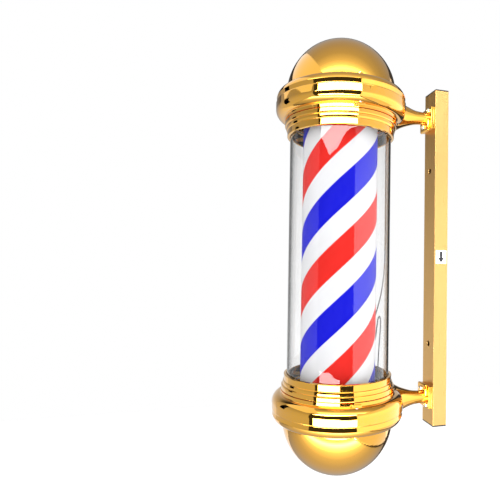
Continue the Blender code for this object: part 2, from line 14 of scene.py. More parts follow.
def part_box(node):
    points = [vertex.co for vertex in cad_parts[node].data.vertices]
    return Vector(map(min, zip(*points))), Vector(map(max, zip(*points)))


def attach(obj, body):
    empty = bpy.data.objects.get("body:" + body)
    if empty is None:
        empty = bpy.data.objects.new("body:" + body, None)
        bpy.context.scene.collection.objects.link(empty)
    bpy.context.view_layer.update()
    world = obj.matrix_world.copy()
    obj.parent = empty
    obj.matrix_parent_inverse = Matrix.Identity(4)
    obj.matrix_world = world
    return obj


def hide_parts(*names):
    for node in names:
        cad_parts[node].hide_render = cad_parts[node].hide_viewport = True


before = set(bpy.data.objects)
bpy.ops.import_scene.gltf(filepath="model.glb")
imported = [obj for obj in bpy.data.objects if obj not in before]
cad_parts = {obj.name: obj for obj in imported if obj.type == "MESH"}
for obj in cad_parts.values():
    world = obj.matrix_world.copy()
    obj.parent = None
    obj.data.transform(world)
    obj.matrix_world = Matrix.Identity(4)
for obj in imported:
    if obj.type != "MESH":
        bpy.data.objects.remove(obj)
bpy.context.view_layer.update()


def middle(node):
    low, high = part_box(node)
    return (Vector(low) + Vector(high)) / 2


GAP = 0.0003
AXIS = Vector((0, middle("clear_tube").y, 0))
WALL = -AXIS.y
SIDES = {"top": 1, "bottom": -1}
FINE = 192

DOME_RADIUS = 0.0893
DOME_CENTRE = 0.2607
BAND_RADIUS = 0.1060
BAND_CREST = 0.2624
BOSS_FACE = 0.0958
NECK_RADIUS = 0.0923
NECK_BOTTOM = 0.2148
RING_RADIUS = 0.0913
RIM_RADIUS = 0.0873
TUBE_RADIUS = 0.0825
TUBE_WALL = 0.0030
TUBE_HALF = 0.2098
DRUM_RADIUS = 0.0610
DRUM_TOP = 0.2045
DRUM_BOTTOM = -0.2060
HUB_RADIUS = 0.0592
SIDE_SCREW_HEIGHT = 0.2238
ARM_HEIGHT = 0.2410
BRACKET_FACE = 0.2153
BRACKET_BACK = 0.2173
RAIL_HALF = 0.2860

# Stripes on the drum: their colours come again every STRIPE_PERIOD of height, and a stripe climbs
# twice that in a turn. A red one is centred at RED_HEIGHT where the drum faces RED_ANGLE.
STRIPE_PERIOD = 0.182
COLOUR_SHARE = 0.269
RED_HEIGHT = 0.0007
RED_ANGLE = math.radians(-17.0)


# --- materials ---------------------------------------------------------------------------------


class Nodes:
    """A material's node tree with its Principled shader, and short ways to add nodes."""

    def __init__(self, name):
        self.material = bpy.data.materials.new(name)
        self.material.use_nodes = True
        self.tree = self.material.node_tree
        self.shader = self.tree.nodes["Principled BSDF"]
        self.output = self.tree.nodes["Material Output"]

    def set(self, **values):
        for name, value in values.items():
            socket = self.shader.inputs[name.replace("_", " ")]
            socket.default_value = (*value, 1) if isinstance(value, tuple) else value

    def link(self, source, target):
        self.tree.links.new(source, target)

    def add(self, kind, **settings):
        node = self.tree.nodes.new(kind)
        for name, value in settings.items():
            setattr(node, name, value)
        return node

    def place(self, scale=(1, 1, 1)):
        """Object coordinates, stretched."""
        place = self.add("ShaderNodeTexCoord")
        mapping = self.add("ShaderNodeMapping")
        mapping.inputs["Scale"].default_value = scale
        self.link(place.outputs["Object"], mapping.inputs["Vector"])
        return mapping.outputs["Vector"]

    def noise(self, scale, detail=3.0, stretch=(1, 1, 1), rough=0.5):
        noise = self.add("ShaderNodeTexNoise")
        noise.inputs["Scale"].default_value = scale
        noise.inputs["Detail"].default_value = detail
        noise.inputs["Roughness"].default_value = rough
        self.link(self.place(stretch), noise.inputs["Vector"])
        return noise.outputs["Fac"]

    def between(self, source, low, high, start=0.3, end=0.7):
        """source from start to end, as a number from low to high."""
        span = self.add("ShaderNodeMapRange")
        for socket, value in zip(("From Min", "From Max", "To Min", "To Max"), (start, end, low, high)):
            span.inputs[socket].default_value = value
        self.link(source, span.inputs["Value"])
        return span.outputs["Result"]

    def colours(self, source, stops, hard=False):
        ramp = self.add("ShaderNodeValToRGB")
        ramp.color_ramp.interpolation = "CONSTANT" if hard else "LINEAR"
        while len(ramp.color_ramp.elements) < len(stops):
            ramp.color_ramp.elements.new(0.5)
        for element, (position, colour) in zip(ramp.color_ramp.elements, stops):
            element.position = position
            element.color = (*colour, 1)
        self.link(source, ramp.inputs["Fac"])
        return ramp.outputs["Color"]

    def math(self, operation, first, second=0.0):
        node = self.add("ShaderNodeMath", operation=operation)
        for socket, value in zip(node.inputs, (first, second)):
            if isinstance(value, (int, float)):
                socket.default_value = value
            else:
                self.link(value, socket)
        return node.outputs["Value"]

    def bump(self, height, strength, distance):
        bump = self.add("ShaderNodeBump")
        bump.inputs["Strength"].default_value = strength
        bump.inputs["Distance"].default_value = distance
        self.link(height, bump.inputs["Height"])
        self.link(bump.outputs["Normal"], self.shader.inputs["Normal"])


def plated_gold(name, rough, wave=0.10):
    """Gold plating under a thin lacquer, with the faint waves and wipe marks of a moulded part."""
    nodes = Nodes(name)
    nodes.set(Metallic=1.0, Coat_Weight=1.0, Coat_Roughness=rough[0], Coat_IOR=1.45)
    tone = nodes.noise(9, 2)
    colour = nodes.colours(tone, [(0.3, (0.95, 0.470, 0.042)), (0.7, (0.98, 0.510, 0.052))])
    nodes.link(colour, nodes.shader.inputs["Base Color"])
    wipe = nodes.noise(45, 5, (1, 1, 0.25), 0.6)
    nodes.link(nodes.between(wipe, *rough), nodes.shader.inputs["Roughness"])
    nodes.bump(nodes.noise(38, 1), wave, 0.0006)
    return nodes.material


def satin_gold():
    """Gold anodised extrusion, with fine drawing lines along its length."""
    nodes = Nodes("satin_gold")
    nodes.set(Metallic=1.0)
    line = nodes.noise(900, 4, (1, 1, 0.012), 0.65)
    tone = nodes.noise(5, 2, (1, 1, 0.5))
    colour = nodes.colours(tone, [(0.25, (0.72, 0.430, 0.140)), (0.75, (0.79, 0.480, 0.170))])
    nodes.link(colour, nodes.shader.inputs["Base Color"])
    nodes.link(nodes.between(line, 0.26, 0.42), nodes.shader.inputs["Roughness"])
    nodes.bump(line, 0.16, 0.0002)
    return nodes.material


def steel(name, colour, low, high, spot=0.12):
    nodes = Nodes(name)
    nodes.set(Metallic=1.0)
    tone = nodes.noise(120, 4)
    darker = tuple(value * (1 - spot) for value in colour)
    nodes.link(nodes.colours(tone, [(0.3, darker), (0.7, colour)]), nodes.shader.inputs["Base Color"])
    nodes.link(nodes.between(nodes.noise(400, 4), low, high), nodes.shader.inputs["Roughness"])
    nodes.bump(nodes.noise(700, 3), 0.08, 0.0002)
    return nodes.material


def moulded(name, colour, low, high, grain=900, depth=0.12, spread=0.06, **more):
    """Moulded plastic or rubber with a fine grain."""
    nodes = Nodes(name)
    nodes.set(**more)
    tone = nodes.noise(25, 3)
    darker = tuple(value * (1 - spread) for value in colour)
    nodes.link(nodes.colours(tone, [(0.3, darker), (0.7, colour)]), nodes.shader.inputs["Base Color"])
    nodes.link(nodes.between(nodes.noise(60, 4), low, high), nodes.shader.inputs["Roughness"])
    nodes.bump(nodes.noise(grain, 2), depth, 0.0002)
    return nodes.material


def clear_acrylic():
    """Clear tube. Lamps reach what is behind it through a plain see-through shader."""
    nodes = Nodes("clear_acrylic")
    nodes.set(Base_Color=(0.925, 0.926, 0.928), Roughness=0.0, IOR=1.45, Transmission_Weight=1.0)
    nodes.bump(nodes.noise(7, 1, (1, 1, 0.4)), 0.015, 0.0005)
    clear = nodes.add("ShaderNodeBsdfTransparent")
    clear.inputs["Color"].default_value = (0.93, 0.94, 0.95, 1)
    path = nodes.add("ShaderNodeLightPath")
    mix = nodes.add("ShaderNodeMixShader")
    nodes.link(path.outputs["Is Shadow Ray"], mix.inputs["Fac"])
    nodes.link(nodes.shader.outputs["BSDF"], mix.inputs[1])
    nodes.link(clear.outputs["BSDF"], mix.inputs[2])
    nodes.link(mix.outputs["Shader"], nodes.output.inputs["Surface"])
    return nodes.material


def striped_film():
    """White drum with printed red and blue stripes that climb round it."""
    nodes = Nodes("striped_film")
    nodes.set(IOR=1.45, Specular_IOR_Level=0.04)
    place = nodes.add("ShaderNodeTexCoord")
    split = nodes.add("ShaderNodeSeparateXYZ")
    nodes.link(place.outputs["Object"], split.inputs["Vector"])
    depth = nodes.math("SUBTRACT", split.outputs["Y"], AXIS.y)
    angle = nodes.math("ARCTAN2", depth, split.outputs["X"])
    turn = nodes.math("MULTIPLY", nodes.math("SUBTRACT", angle, RED_ANGLE), 1 / math.pi)
    climb = nodes.math("MULTIPLY", nodes.math("SUBTRACT", split.outputs["Z"], RED_HEIGHT), 1 / STRIPE_PERIOD)
    phase = nodes.math("FRACT", nodes.math("ADD", nodes.math("SUBTRACT", climb, turn), 20.0 + COLOUR_SHARE / 2))
    white, red, blue = (0.93, 0.93, 0.94), (0.93, 0.030, 0.022), (0.010, 0.012, 0.720)
    stops = [(0.0, red), (COLOUR_SHARE, white), (0.5, blue), (0.5 + COLOUR_SHARE, white)]
    print_colour = nodes.colours(phase, stops, hard=True)
    tone = nodes.colours(nodes.noise(14, 3), [(0.3, (0.955, 0.955, 0.955)), (0.7, (1, 1, 1))])
    shade = nodes.add("ShaderNodeMix", data_type="RGBA", blend_type="MULTIPLY")
    shade.inputs["Factor"].default_value = 1.0
    nodes.link(print_colour, shade.inputs["A"])
    nodes.link(tone, shade.inputs["B"])
    nodes.link(shade.outputs["Result"], nodes.shader.inputs["Base Color"])
    nodes.link(nodes.between(nodes.noise(120, 4, (1, 1, 0.3)), 0.22, 0.36), nodes.shader.inputs["Roughness"])
    nodes.bump(nodes.noise(30, 2, (1, 1, 0.6)), 0.05, 0.0006)
    return nodes.material


def make_materials():
    return {
        "gold": plated_gold("plated_gold", (0.018, 0.050)),
        "gold_dome": plated_gold("plated_gold_dome", (0.06, 0.10), 0.05),
        "gold_cast": plated_gold("plated_gold_cast", (0.05, 0.11), 0.16),
        "rail": satin_gold(),
        "screw": steel("bright_screw", (0.86, 0.80, 0.66), 0.10, 0.22),
        "zinc": steel("zinc_steel", (0.63, 0.63, 0.61), 0.25, 0.42, 0.2),
        "lamp_base": steel("lamp_base_metal", (0.80, 0.66, 0.40), 0.22, 0.36),
        "black": moulded("black_plastic", (0.018, 0.018, 0.018), 0.38, 0.52),
        "white": moulded("white_plastic", (0.86, 0.86, 0.85), 0.32, 0.45),
        "opal": moulded("opal_plastic", (0.90, 0.90, 0.89), 0.25, 0.35, Subsurface_Weight=0.15),
        "rubber": moulded("grey_rubber", (0.10, 0.10, 0.105), 0.60, 0.80, 600, 0.25),
        "gasket": moulded("pale_gasket", (0.55, 0.55, 0.56), 0.50, 0.65, 600, 0.20),
        "lead": moulded("lead_insulation", (0.085, 0.085, 0.090), 0.34, 0.46, 1500, 0.10),
        "paper": moulded("label_paper", (0.90, 0.90, 0.90), 0.40, 0.55, 1600, 0.10, 0.02),
        "ink": moulded("label_ink", (0.015, 0.015, 0.017), 0.35, 0.50, 1600, 0.10),
        "drum": striped_film(),
        "clear": clear_acrylic(),
    }


MATERIALS = make_materials()


# --- shapes ------------------------------------------------------------------------------------


def make(name, mesh, finish, soften=30):
    """An object with a finish, smooth apart from edges sharper than soften degrees."""
    obj = bpy.data.objects.new(name, mesh)
    bpy.context.scene.collection.objects.link(obj)
    mesh.materials.append(MATERIALS[finish])
    if soften:
        mesh.shade_smooth()
        mesh.set_sharp_from_angle(angle=math.radians(soften))
    return obj


def settle(obj, node, body="housing"):
    """obj stands for a CAD node, rides on its body and takes its slot."""
    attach(obj, body)
    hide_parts(node)
    return obj


def arc(centre, size, start, end, count):
    points = []
    for index in range(count):
        angle = math.radians(start + (end - start) * index / (count - 1))
        points.append((centre[0] + size[0] * math.cos(angle), centre[1] + size[1] * math.sin(angle)))
    return points


def rounded(corners, closed=True, step=9):
    """An outline from corners (radius, height, fillet), each fillet drawn as a fine arc."""
    points = []
    for index, (x, y, size) in enumerate(corners):
        here = Vector((x, y))
        if size <= 0 or (not closed and index in (0, len(corners) - 1)):
            points.append((x, y))
            continue
        before = Vector(corners[index - 1][:2]) - here
        after = Vector(corners[(index + 1) % len(corners)][:2]) - here
        half = before.angle(after) / 2
        reach = min(size / math.tan(half), 0.48 * before.length, 0.48 * after.length)
        radius = reach * math.tan(half)
        centre = here + (before.normalized() + after.normalized()).normalized() * (radius / math.sin(half))
        start = here + before.normalized() * reach - centre
        end = here + after.normalized() * reach - centre
        way = 1 if start.x * end.y - start.y * end.x > 0 else -1
        turn = math.pi - 2 * half
        count = max(2, math.ceil(math.degrees(turn) / step))
        for piece in range(count + 1):
            point = centre + Matrix.Rotation(way * turn * piece / count, 2) @ start
            points.append((point.x, point.y))
    return points


def supported(outline, closed):
    """Adds a point near each end of a long straight run, so that smooth shading leaves it straight."""
    points = []
    for index, here in enumerate(outline):
        points.append(here)
        if index == len(outline) - 1 and not closed:
            break
        there = outline[(index + 1) % len(outline)]
        length = math.dist(here, there)
        if length > 0.0016:
            for share in (0.0004 / length, 1 - 0.0004 / length):
                points.append(tuple(a + (b - a) * share for a, b in zip(here, there)))
    return points


def aim(axis):
    return Vector((0, 0, 1)).rotation_difference(Vector(axis)).to_matrix()


def lathe_mesh(name, outline, location=AXIS, axis=(0, 0, 1), steps=FINE, closed=True):
    """A turned mesh in the row frame. An open outline starts and ends on the axis."""
    shape = bmesh.new()
    turn = aim(axis)
    rows = []
    for radius, height in supported(outline, closed):
        if radius < 1e-7:
            rows.append([shape.verts.new(Vector(location) + turn @ Vector((0, 0, height)))])
            continue
        row = []
        for step in range(steps):
            angle = 2 * math.pi * step / steps
            point = Vector((radius * math.cos(angle), radius * math.sin(angle), height))
            row.append(shape.verts.new(Vector(location) + turn @ point))
        rows.append(row)
    pairs = list(zip(rows, rows[1:] + rows[:1])) if closed else list(zip(rows, rows[1:]))
    for first, second in pairs:
        for step in range(steps):
            after = (step + 1) % steps
            corners = [first[step % len(first)], second[step % len(second)]]
            corners += [second[after % len(second)], first[after % len(first)]]
            unique = list(dict.fromkeys(corners))
            if len(unique) > 2:
                shape.faces.new(unique)
    bmesh.ops.recalc_face_normals(shape, faces=shape.faces)
    mesh = bpy.data.meshes.new(name)
    shape.to_mesh(mesh)
    shape.free()
    return mesh


def lathe(name, outline, finish, location=AXIS, axis=(0, 0, 1), steps=FINE, closed=True, soften=30):
    return make(name, lathe_mesh(name, outline, location, axis, steps, closed), finish, soften)


def at_side(outline, side):
    return outline if side > 0 else [(radius, -height) for radius, height in reversed(outline)]


def block_mesh(name, low, high, bevel, segments=3, edges=None):
    """A box with rounded edges. edges picks them by a test on their two ends."""
    low, high = (Vector([f(a, b) for a, b in zip(low, high)]) for f in (min, max))
    shape = bmesh.new()
    bmesh.ops.create_cube(shape, size=1)
    bmesh.ops.scale(shape, vec=high - low, verts=shape.verts)
    bmesh.ops.translate(shape, vec=(low + high) / 2, verts=shape.verts)
    chosen = [edge for edge in shape.edges if edges is None or edges(edge.verts[0].co, edge.verts[1].co)]
    if bevel:
        bmesh.ops.bevel(shape, geom=chosen, offset=bevel, segments=segments, profile=0.5, affect="EDGES")
    mesh = bpy.data.meshes.new(name)
    shape.to_mesh(mesh)
    shape.free()
    return mesh


def flat_faces(obj):
    """Shades the faces that look along an axis flat, and only the rounded ones between them smooth."""
    for polygon in obj.data.polygons:
        polygon.use_smooth = max(abs(value) for value in polygon.normal) < 0.9999
    return obj


def block(name, low, high, finish, bevel=0.0005, segments=3):
    return flat_faces(make(name, block_mesh(name, low, high, bevel, segments), finish, 0))


def merge(obj, *others):
    """Adds other objects' meshes to obj's, as shells of one piece."""
    shape = bmesh.new()
    shape.from_mesh(obj.data)
    for other in others:
        shift = len(obj.data.materials)
        known = list(obj.data.materials)
        for material in other.data.materials:
            if material not in known:
                obj.data.materials.append(material)
        known = list(obj.data.materials)
        count = len(shape.faces)
        shape.from_mesh(other.data)
        shape.faces.ensure_lookup_table()
        for face in shape.faces[count:]:
            face.material_index = known.index(other.data.materials[face.material_index])
        bpy.data.objects.remove(other)
    shape.to_mesh(obj.data)
    shape.free()
    return obj


def apply_booleans(obj, tools, operation="DIFFERENCE"):
    """Cuts tools from obj, or joins them on, and leaves a plain mesh."""
    for tool in tools:
        step = obj.modifiers.new("Cut", "BOOLEAN")
        step.operation = operation
        step.solver = "EXACT"
        step.object = tool
    bpy.context.view_layer.update()
    graph = bpy.context.evaluated_depsgraph_get()
    mesh = bpy.data.meshes.new_from_object(obj.evaluated_get(graph))
    obj.modifiers.clear()
    obj.data = mesh
    for tool in tools:
        bpy.data.objects.remove(tool)
    return obj


def rod(name, radius, start, end, finish, location=AXIS, axis=(0, 0, 1), steps=48):
    outline = [(0, end), (radius, end), (radius, start), (0, start)]
    return lathe(name, outline, finish, location, axis, steps, closed=False)


def cross_cutter(seat, axis, size, depth):
    """A tapered cross, for the recess in a screw's head."""
    shape = bmesh.new()
    for wide, tall in ((1.0, 0.24), (0.24, 1.0)):
        for_this = bmesh.ops.create_cube(shape, size=1)["verts"]
        for vert in for_this:
            taper = 1.0 if vert.co.z > 0 else 0.45
            x, y = vert.co.x * 2 * size * wide * taper, vert.co.y * 2 * size * tall * taper
            vert.co = Vector((x, y, depth if vert.co.z > 0 else -depth))
    turn = aim(axis)
    for vert in shape.verts:
        vert.co = Vector(seat) + turn @ vert.co
    mesh = bpy.data.meshes.new("cross")
    shape.to_mesh(mesh)
    shape.free()
    obj = bpy.data.objects.new("cross", mesh)
    bpy.context.scene.collection.objects.link(obj)
    step = obj.modifiers.new("One", "BOOLEAN")
    bpy.context.view_layer.update()
    obj.modifiers.remove(step)
    return obj


def screw(name, seat, axis, head, height, shank, length, finish="screw"):
    """A pan-head screw with a cross recess and a threaded shank, its head's underside at seat."""
    outline = [(0, height), (0.35 * head, height * 0.985)]
    outline += arc((0.35 * head, 0.25 * height), (0.65 * head, 0.735 * height), 80, 0, 9)
    outline += [(head, 0.08 * height), (0.96 * head, 0), (shank, 0)]
    pitch = 0.0007 if shank > 0.0012 else 0.0005
    turns = int((length - 0.0015) / pitch)
    for turn in range(turns):
        top = -0.0004 - turn * pitch
        outline += [(shank, top), (shank * 0.82, top - pitch / 2)]
    outline += [(shank * 0.8, -length + 0.0005), (shank * 0.55, -length), (0, -length)]
    obj = lathe(name, outline, finish, seat, axis, 40, closed=False)
    return cross_recess(obj, seat, axis, head, height)


def cross_recess(obj, seat, axis, head, height):
    top = Vector(seat) + Vector(axis).normalized() * height
    size = 0.52 * head
    turn = aim(axis)
    tools = []
    for wide, tall in ((size, 0.24 * size), (0.24 * size, size)):
        shape = bmesh.new()
        for vert in bmesh.ops.create_cube(shape, size=1)["verts"]:
            taper = 1.0 if vert.co.z > 0 else 0.5
            place = Vector((vert.co.x * 2 * wide * taper, vert.co.y * 2 * tall * taper, 0))
            place.z = 0.3 * height if vert.co.z > 0 else -0.62 * height
            vert.co = top + turn @ place
        mesh = bpy.data.meshes.new("cross")
        shape.to_mesh(mesh)
        shape.free()
        tool = bpy.data.objects.new("cross", mesh)
        bpy.context.scene.collection.objects.link(tool)
        tools.append(tool)
    apply_booleans(obj, tools)
    obj.data.set_sharp_from_angle(angle=math.radians(30))
    return obj


# --- end caps ----------------------------------------------------------------------------------


def dome(end, side):
    inner = DOME_RADIUS - 0.002
    outside = arc((0, DOME_CENTRE), (DOME_RADIUS, DOME_RADIUS), 90, 0, 61)
    inside = arc((0, DOME_CENTRE), (inner, inner), 0, 90, 31)
    outside[0] = (0, outside[0][1])
    inside[-1] = (0, inside[-1][1])
    skirt = [(DOME_RADIUS, 0.2506), (DOME_RADIUS - 0.0004, 0.2503), (inner, 0.2503)]
    shell = lathe(f"{end}_dome_fine", at_side(outside + skirt + inside, side), "gold_dome", closed=False)
    ears = []
    for way in (-1, 1):
        low = AXIS + Vector((way * (inner + 0.0006), -0.0045, side * 0.2627))
        high = AXIS + Vector((way * 0.0972, 0.0045, side * 0.2643))
        outer = way * 0.0972

        def rim(first, second):
            return abs(first.x - outer) < 1e-6 and abs(second.x - outer) < 1e-6 and abs(first.z - second.z) > 1e-6

        mesh = block_mesh("ear", low, high, 0.0030, 8, rim)
        ears.append(flat_faces(make("ear", mesh, "gold", 0)))
    return settle(merge(shell, *ears), f"{end}_dome")


def band_outline():
    crest = [(DOME_RADIUS + GAP, BAND_CREST), (0.0968, BAND_CREST)]
    shoulder = arc((0.0962, 0.2478), (0.0094, 0.0146), 84, 18, 24)
    groove = [(0.1049, 0.2520), (0.1036, 0.2462)] + arc((0.1041, 0.2456), (0.0005, 0.0005), 180, 260, 5)
    face = arc((0.1050, 0.2438), (0.0010, 0.0012), 80, 0, 8)
    lower = arc((0.0923, 0.2342), (0.0137, 0.0142), 0, -80, 36)
    hollow = arc((0.0940, 0.2190), (0.0940 - NECK_RADIUS, 0.0012), 90, 180, 8)
    inside = [
        (0.0900, NECK_BOTTOM),
        (0.0900, 0.2270),
        (0.0980, 0.2302),
        (0.1012, 0.2350),
        (0.1012, 0.2530),
        (0.0960, 0.2600),
        (0.0921, 0.2600),
        (0.0921, 0.2480),
        (0.0850, 0.2480),
        (0.0850, 0.2500),
        (DOME_RADIUS + GAP, 0.2500),
    ]
    upper = shoulder + groove + face
    return crest + upper + lower + hollow + [(NECK_RADIUS, NECK_BOTTOM)], inside


def band(end, side):
    outside, inside = band_outline()
    shell = lathe(f"{end}_band_fine", at_side(outside + inside, side), "gold", soften=24)
    bosses = []
    for way in (-1, 1):
        low = AXIS + Vector((way * 0.0912, -0.0082, side * 0.2166))
        high = AXIS + Vector((way * BOSS_FACE, 0.0082, side * 0.2300))
        boss = block(f"boss_{way}", low, high, "gold", 0.0011, 4)
        place = AXIS + Vector((0, 0, side * SIDE_SCREW_HEIGHT))
        pocket = rod("pocket", 0.0046, BOSS_FACE - GAP, 0.110, "gold", place, (way, 0, 0))
        bosses.append(apply_booleans(boss, [pocket]))
    return settle(merge(shell, *bosses), f"{end}_band")


def collar_outline():
    return [
        (0.0903, 0.2145, 0.0004),
        (0.0914, 0.2138, 0.0006),
        (0.0914, 0.2086, 0.0010),
        (0.0909, 0.2068, 0.0006),
        (0.0892, 0.2065, 0.0005),
        (0.0892, 0.2032, 0.0010),
        (0.0884, 0.2004, 0.0008),
        (0.0872, 0.2000, 0.0004),
        (RIM_RADIUS, 0.1906, 0.0007),
        (0.0838, 0.1898, 0.0006),
    ]


def collar(end, side):
    socket = TUBE_RADIUS + GAP
    corners = collar_outline() + [
        (socket, 0.1904, 0.0003),
        (socket, 0.2124, 0.0003),
        (0.0778, 0.2124, 0.0003),
        (0.0778, 0.2150, 0.0003),
        (0.0870, 0.2150, 0.0003),
        (0.0870, 0.2340, 0.0003),
        (0.0897, 0.2340, 0.0003),
        (0.0897, 0.2145, 0.0002),
    ]
    shell = lathe(f"{end}_collar_fine", at_side(rounded(corners), side), "gold", soften=24)
    return settle(shell, f"{end}_collar")


def end_screws(end, side):
    for number, way in enumerate((-1, 1), start=1):
        seat = AXIS + Vector((way * BOSS_FACE, 0, side * SIDE_SCREW_HEIGHT))
        name = f"{end}_side_screw_{number}"
        settle(screw(f"{name}_fine", seat, (way, 0, 0), 0.0038, 0.0026, 0.0016, 0.0150), name)
        seat = AXIS + Vector((way * 0.0940, 0, side * 0.2646))
        name = f"{end}_dome_screw_{number}"
        settle(screw(f"{name}_fine", seat, (0, 0, side), 0.0022, 0.0016, 0.0011, 0.0078), name)


# --- wall bracket ------------------------------------------------------------------------------


def outer_radius(height):
    """How far band and collar reach from the pole's axis at this height, with the gap round them."""
    outline = band_outline()[0] + [(x, y) for x, y, size in collar_outline()]
    height = abs(height)
    if height > 0.2520:
        return max(0.1048, max_radius(outline, height) + GAP)
    return max_radius(outline, height) + GAP


def max_radius(outline, height):
    found = 0.0
    for (x1, y1), (x2, y2) in zip(outline, outline[1:]):
        if min(y1, y2) <= height <= max(y1, y2) and abs(y1 - y2) > 1e-9:
            found = max(found, x1 + (x2 - x1) * (height - y1) / (y2 - y1))
    return found


def trumpet(name, side):
    """The flared arm, from the wall flange to the curve where it meets the band."""
    profile = [
        (0.0105, 0.1565),
        (0.0105, 0.1480),
        (0.0112, 0.1390),
        (0.0124, 0.1310),
        (0.0150, 0.1220),
        (0.0190, 0.1110),
        (0.0234, 0.1025),
        (0.0275, 0.0960),
        (0.0330, 0.0890),
    ]
    fine = smooth([Vector((x, y, 0)) for x, y in profile], 0.0008)
    steps = 96
    shape = bmesh.new()
    rows = []
    rings = 40
    for step in range(steps):
        angle = 2 * math.pi * step / steps
        column = []
        for radius, along, _ in fine:
            x, rise = radius * math.cos(angle), radius * math.sin(angle)
            height = ARM_HEIGHT + rise
            if math.hypot(x, along) < outer_radius(height):
                break
            column.append(Vector((x, along, height)))
        start, end = column[-1], Vector((x, along, height))
        for _ in range(20):
            half = (start + end) / 2
            if math.hypot(half.x, half.y) < outer_radius(half.z):
                end = half
            else:
                start = half
        column.append(start)
        rows.append(resample(column, rings))
    grid = [[shape.verts.new(AXIS + Vector((p.x, p.y, side * p.z))) for p in row] for row in rows]
    saddle = []
    for row in rows:
        edge = row[-1]
        ring = []
        for share in (0.8, 0.55, 0.3):
            x, height = edge.x * share, ARM_HEIGHT + (edge.z - ARM_HEIGHT) * share
            along = math.sqrt(max(outer_radius(height) ** 2 - x * x, 0))
            ring.append(shape.verts.new(AXIS + Vector((x, along, side * height))))
        saddle.append(ring)
    for step in range(steps):
        after = (step + 1) % steps
        first, second = grid[step] + saddle[step], grid[after] + saddle[after]
        for index in range(len(first) - 1):
            shape.faces.new([first[index], first[index + 1], second[index + 1], second[index]])
    shape.faces.new([ring[-1] for ring in saddle])
    shape.faces.new([row[0] for row in grid])
    bmesh.ops.recalc_face_normals(shape, faces=shape.faces)
    mesh = bpy.data.meshes.new(name)
    shape.to_mesh(mesh)
    shape.free()
    return make(name, mesh, "gold_cast")


def resample(points, count):
    """The same polyline with count points, evenly spaced."""
    lengths = [0.0]
    for first, second in zip(points, points[1:]):
        lengths.append(lengths[-1] + (second - first).length)
    result = []
    index = 0
    for step in range(count):
        target = lengths[-1] * step / (count - 1)
        while index < len(points) - 2 and lengths[index + 1] < target:
            index += 1
        span = lengths[index + 1] - lengths[index]
        share = (target - lengths[index]) / span if span else 0
        result.append(points[index].lerp(points[index + 1], min(share, 1)))
    return result


def smooth(points, spacing):
    """A smooth curve through given points, with a point about every spacing metres."""
    ends = [2 * points[0] - points[1]] + points + [2 * points[-1] - points[-2]]
    curve = []
    for before, start, end, after in zip(ends, ends[1:], ends[2:], ends[3:]):
        count = max(1, round((end - start).length / spacing))
        for step in range(count):
            t = step / count
            bend = 2 * start + (end - before) * t
            bend += (2 * before - 5 * start + 4 * end - after) * t**2
            bend += (3 * start - before - 3 * end + after) * t**3
            curve.append(bend / 2)
    return curve + [points[-1]]


def flange_block(name, low, high, side, bevel, finish="gold_cast"):
    low, high = Vector(low), Vector(high)
    low.z, high.z = side * low.z, side * high.z
    return block(name, AXIS + low, AXIS + high, finish, bevel, 4)


def arm(name, side):
    body = trumpet(f"{name}_fine", side)
    plate = flange_block("flange", (-0.019, 0.1560, 0.2203), (0.019, 0.1598, 0.2575), side, 0.0007)
    lug = flange_block("lug", (-0.014, 0.1510, 0.2175), (0.014, 0.1568, 0.2385), side, 0.0026)
    return settle(merge(body, plate, lug), name)


def base_plate(name, side):
    plate = flange_block(f"{name}_fine", (-0.019, 0.1601, 0.2203), (0.019, 0.1637, 0.2575), side, 0.0007)
    return settle(plate, name)


def arm_screws(name, side):
    for number, (x, height, face) in enumerate(((0.0, 0.2262, 0.1510), (0.009, 0.2532, 0.1560)), start=1):
        seat = AXIS + Vector((x, face - GAP, side * height))
        node = f"{name}_flange_screw_{number}"
        fine = screw(f"{node}_fine", seat, (0, -1, 0), 0.0042, 0.0036, 0.0020, 0.1700 - face)
        settle(fine, node)
    node = f"{name}_arm_bolt"
    seat = AXIS + Vector((0, 0.1026, side * ARM_HEIGHT))
    settle(screw(f"{node}_fine", seat, (0, -1, 0), 0.0045, 0.0030, 0.0025, 0.0190, "zinc"), node)


def tube_section(half, depth, corner, segments=6):
    """A rectangle with rounded corners, as points round (0, 0)."""
    points = []
    for x, y, start in ((half, 0, -90), (half, depth, 0), (-half, depth, 90), (-half, 0, 180)):
        centre = (x - math.copysign(corner, x), y + (corner if y == 0 else -corner))
        points += arc(centre, (corner, corner), start, start + 90, segments)
    return points


def wall_rail():
    """Rectangular tube with rounded corners, open at both ends, with its drilled holes."""
    shape = bmesh.new()
    rings = []
    outer = [(x, y - 0.025) for x, y in tube_section(0.019, 0.025, 0.0004)]
    inner = [(x, y - 0.0235) for x, y in tube_section(0.0175, 0.022, 0.0004)]
    for points, heights in ((outer, (RAIL_HALF, -RAIL_HALF)), (inner, (-RAIL_HALF, RAIL_HALF))):
        for height in heights:
            rings.append([shape.verts.new((x, y, height)) for x, y in points])
    for first, second in zip(rings, rings[1:] + rings[:1]):
        for index in range(len(first)):
            after = (index + 1) % len(first)
            shape.faces.new([first[index], second[index], second[after], first[after]])
    bmesh.ops.recalc_face_normals(shape, faces=shape.faces)
    mesh = bpy.data.meshes.new("wall_rail_fine")
    shape.to_mesh(mesh)
    shape.free()
    rail = make("wall_rail_fine", mesh, "rail", 0)
    tools = []
    for side in SIDES.values():
        place = Vector((0, 0, side * 0.150))
        tools.append(rod("driver_hole", 0.0048, -0.030, -0.020, "rail", place, (0, 1, 0)))
        tools.append(rod("wall_screw_hole", 0.0030, -0.005, 0.005, "rail", place, (0, 1, 0)))
        for x, height in ((0.0, 0.2262), (0.009, 0.2532)):
            place = Vector((x, 0, side * height))
            tools.append(rod("screw_hole", 0.0023, -0.030, -0.020, "rail", place, (0, 1, 0), 24))
    return settle(apply_booleans(rail, tools), "wall_rail")


